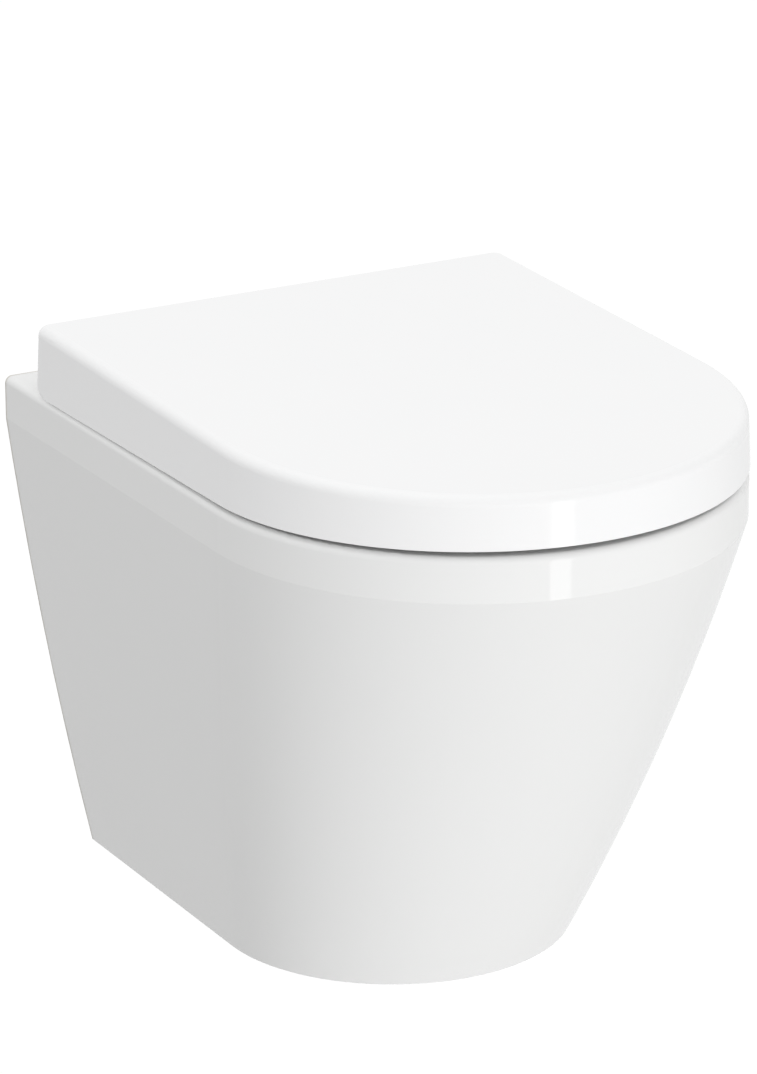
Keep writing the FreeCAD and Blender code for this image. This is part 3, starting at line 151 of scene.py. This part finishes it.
def bareEdge(tree, place):
    # 1 on the bare rim at the wall, 0 on the glaze, with a wandering line between
    split = tree.nodes.new("ShaderNodeSeparateXYZ")
    tree.links.new(place, split.inputs["Vector"])
    waves = noiseNode(tree, place, glaze["wanderScale"], glaze["wanderDetail"])
    wander = rangeNode(tree, waves, (0, 1), (-glaze["edgeWander"], glaze["edgeWander"]))
    moved = tree.nodes.new("ShaderNodeMath")
    tree.links.new(split.outputs["Y"], moved.inputs[0])
    tree.links.new(wander, moved.inputs[1])
    return rangeNode(tree, moved.outputs["Value"], (glaze["edgeFrom"], glaze["edgeTo"]), (0, 1))


def specks(tree, place):
    # pinholes in the glaze, a fraction of a millimetre wide
    cells = tree.nodes.new("ShaderNodeTexVoronoi")
    cells.inputs["Scale"].default_value = glaze["speckScale"]
    tree.links.new(place, cells.inputs["Vector"])
    return rangeNode(tree, cells.outputs["Distance"], (glaze["speckSize"], 0.0), (0, 1))


def makeFinish(name, look):
    # two close tones and an uneven sheen, all on Object coordinates
    material = bpy.data.materials.new(name)
    material.use_nodes = True
    tree = material.node_tree
    shader = tree.nodes["Principled BSDF"]
    place = tree.nodes.new("ShaderNodeTexCoord").outputs["Object"]
    vector = place
    if look["kind"] == "brushed":
        stretch = tree.nodes.new("ShaderNodeMapping")
        stretch.inputs["Scale"].default_value = texture["brushStretch"]
        tree.links.new(place, stretch.inputs["Vector"])
        vector = stretch.outputs["Vector"]
    broad = noiseNode(tree, vector, look["grain"] * texture["broadShare"], texture["broadDetail"])
    fine = noiseNode(tree, vector, look["grain"], texture["fineDetail"])

    color = mixColor(tree, broad, look["color"], look["tint"])
    rough = rangeNode(tree, broad, texture["roughSpan"], look["rough"])
    height = fine
    if look["kind"] == "glaze":
        edge = bareEdge(tree, place)
        color = mixColor(tree, specks(tree, place), color, glaze["speckTone"])
        color = mixColor(tree, edge, color, glaze["biscuit"])
        rough = mixValue(tree, edge, rough, glaze["biscuitRough"])
    elif look["kind"] == "metal":
        # hairlines from wiping, seen only where a light is mirrored
        lines = noiseNode(tree, vector, look["grain"] * texture["hairShare"], texture["hairDetail"])
        hair = tree.nodes.new("ShaderNodeMath")
        hair.operation = "MULTIPLY_ADD"
        hair.inputs[1].default_value = texture["hairRough"]
        tree.links.new(rangeNode(tree, lines, texture["hairSpan"], (0, 1)), hair.inputs[0])
        tree.links.new(rough, hair.inputs[2])
        rough = hair.outputs["Value"]
    elif look["kind"] in ("rubber", "matte"):
        # a mould's even texture over the slower waves
        pits = noiseNode(tree, vector, look["grain"] * texture["pitShare"], texture["pitDetail"])
        both = tree.nodes.new("ShaderNodeMath")
        tree.links.new(fine, both.inputs[0])
        tree.links.new(pits, both.inputs[1])
        height = both.outputs["Value"]

    tree.links.new(color, shader.inputs["Base Color"])
    tree.links.new(rough, shader.inputs["Roughness"])
    ripple = tree.nodes.new("ShaderNodeBump")
    ripple.inputs["Distance"].default_value = look["bump"]
    ripple.inputs["Strength"].default_value = texture["rippleStrength"]
    tree.links.new(height, ripple.inputs["Height"])
    tree.links.new(ripple.outputs["Normal"], shader.inputs["Normal"])
    shader.inputs["IOR"].default_value = texture["ior"]
    shader.inputs["Metallic"].default_value = 1.0 if look["kind"] in ("metal", "brushed") else 0.0
    return material


finish = {slotName: makeFinish(slotName, look) for slotName, look in finishes.items()}
slotOf = {entry["node"]: entry["material_slot"] for entry in frame["record"]["subparts"]}
for nodeName, nodeObject in nodes.items():
    nodeObject.data.materials.clear()
    nodeObject.data.materials.append(finish[slotOf[nodeName]])
print("stage: finishes on", len(slotOf), "nodes")

releaseSpring = {
    "middleY": -0.062,
    "outward": 0.0775,        # from the middle of the pan to each button
    "coilRadius": 0.00585,
    "wireRadius": 0.0004,
    "foot": 0.0988,
    "head": 0.106,
    "turns": 5,
    "stepsPerTurn": 32,
    "wireSides": 10,
    "pressed": 0.68,          # share of the height left when the button is down
}


def makeReleaseSpring(name, side):
    # one wire circle, wound upwards round the button's axis
    spring = releaseSpring
    centre = Vector((side * spring["outward"], spring["middleY"], spring["foot"]))
    shape = bmesh.new()
    ring = bmesh.ops.create_circle(shape, cap_ends=False, segments=spring["wireSides"],
                                   radius=spring["wireRadius"])["verts"]
    bmesh.ops.rotate(shape, verts=ring, cent=(0, 0, 0), matrix=Matrix.Rotation(math.pi / 2, 3, "X"))
    bmesh.ops.translate(shape, verts=ring, vec=centre + Vector((spring["coilRadius"], 0, 0)))
    start = shape.edges[:]
    steps = spring["turns"] * spring["stepsPerTurn"]
    rise = (spring["head"] - spring["foot"]) / steps
    wound = bmesh.ops.spin(shape, geom=start, cent=centre, axis=(0, 0, 1), dvec=(0, 0, rise),
                           angle=spring["turns"] * 2 * math.pi, steps=steps, use_duplicate=False)
    last = [item for item in wound["geom_last"] if isinstance(item, bmesh.types.BMEdge)]
    bmesh.ops.contextual_create(shape, geom=start)
    bmesh.ops.contextual_create(shape, geom=last)
    bmesh.ops.recalc_face_normals(shape, faces=shape.faces)
    mesh = bpy.data.meshes.new(name)
    shape.to_mesh(mesh)
    shape.free()
    for face in mesh.polygons:
        face.use_smooth = len(face.vertices) == 4
    piece = bpy.data.objects.new(name, mesh)
    scene.collection.objects.link(piece)
    mesh.materials.append(finish["stainless"])
    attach(piece, "hinge_unit")
    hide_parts("release_springs")
    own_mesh(piece)


makeReleaseSpring("rightReleaseSpring", 1)
makeReleaseSpring("leftReleaseSpring", -1)
print("stage: release springs")

studio = {
    "floorLevel": -3.3,
    "floorSize": 60.0,
    "floorTone": (0.12, 0.12, 0.12),
    "floorRough": 0.9,
    "floorWhite": 0.9,        # with the tone's own light it is white, and a shadow still shows
    "floorInGloss": 0.78,
    "skyStrength": 1.0,
}


def makeWhiteRays(tree):
    # a nearly white floor for the camera, glass and gloss; diffuse shading sees the tone
    path = tree.nodes.new("ShaderNodeLightPath")
    strength = None
    for ray, level in (("Is Camera Ray", studio["floorWhite"]),
                       ("Is Transmission Ray", studio["floorWhite"]),
                       ("Is Glossy Ray", studio["floorInGloss"])):
        share = tree.nodes.new("ShaderNodeMath")
        share.operation = "MULTIPLY"
        share.inputs[1].default_value = level
        tree.links.new(path.outputs[ray], share.inputs[0])
        if strength:
            largest = tree.nodes.new("ShaderNodeMath")
            largest.operation = "MAXIMUM"
            tree.links.new(strength, largest.inputs[0])
            tree.links.new(share.outputs["Value"], largest.inputs[1])
            share = largest
        strength = share.outputs["Value"]
    return strength


def makeFloor():
    mesh = bpy.data.meshes.new("studioFloor")
    shape = bmesh.new()
    bmesh.ops.create_grid(shape, x_segments=1, y_segments=1, size=studio["floorSize"] / 2)
    bmesh.ops.translate(shape, verts=shape.verts, vec=(0, 0, studio["floorLevel"]))
    shape.to_mesh(mesh)
    shape.free()
    floor = bpy.data.objects.new("studioFloor", mesh)
    scene.collection.objects.link(floor)
    material = bpy.data.materials.new("studioFloor")
    material.use_nodes = True
    tree = material.node_tree
    shader = tree.nodes["Principled BSDF"]
    shader.inputs["Base Color"].default_value = (*studio["floorTone"], 1)
    shader.inputs["Roughness"].default_value = studio["floorRough"]
    shader.inputs["Specular IOR Level"].default_value = 0.0
    shader.inputs["Emission Color"].default_value = (1, 1, 1, 1)
    tree.links.new(makeWhiteRays(tree), shader.inputs["Emission Strength"])
    mesh.materials.append(material)


def makeWorld():
    world = bpy.data.worlds.new("studioWorld")
    scene.world = world
    world.use_nodes = True
    sky = world.node_tree.nodes["Background"]
    sky.inputs["Color"].default_value = (1, 1, 1, 1)
    sky.inputs["Strength"].default_value = studio["skyStrength"]


# power in watts; the front box stands below the object's level, so that it brightens
# the nose and not the lid, and only the strip shows in the gloss
lamps = {
    "frontBox": {"at": (0.5, -2.6, -2.404), "aim": (0, -0.25, 0.0), "size": (2.2, 2.0),
                 "power": 61.0, "mirrored": False},
    "fillBox": {"at": (-2.152, -2.815, 0.59), "aim": (0, -0.25, 0.0), "size": (2.2, 2.0),
                "power": 16.0, "mirrored": False},
    "stripBox": {"at": (0.22, -2.28, -0.22), "aim": (0.03, -0.48, -0.22), "size": (0.3, 1.3),
                 "power": 2.2, "mirrored": True},
}


def makeLamp(name, lamp):
    light = bpy.data.lights.new(name, "AREA")
    light.shape = "RECTANGLE"
    light.size, light.size_y = lamp["size"]
    light.energy = lamp["power"]
    body = bpy.data.objects.new(name, light)
    body.location = lamp["at"]
    towards = Vector(lamp["aim"]) - Vector(lamp["at"])
    body.rotation_euler = towards.to_track_quat("-Z", "Y").to_euler()
    body.visible_camera = False
    body.visible_glossy = lamp["mirrored"]
    scene.collection.objects.link(body)


view = {
    "at": (-1.6043, -3.0597, 1.1703),
    "yaw": 0.5095,     # radians to the right of +Y
    "pitch": 0.3432,   # radians down
    "lens": 179.52,    # mm, on the long side below
    "longSide": 36.0,
}


def makeCamera():
    camera = bpy.data.cameras.new("photoCamera")
    camera.lens = view["lens"]
    camera.sensor_width = view["longSide"]
    body = bpy.data.objects.new("photoCamera", camera)
    body.location = view["at"]
    body.rotation_euler = (math.pi / 2 - view["pitch"], 0, -view["yaw"])
    scene.collection.objects.link(body)
    scene.camera = body


makeFloor()
makeWorld()
for lampName, lampLook in lamps.items():
    makeLamp(lampName, lampLook)
makeCamera()
scene.view_settings.view_transform = "Standard"
print("stage: floor, lamps and camera")
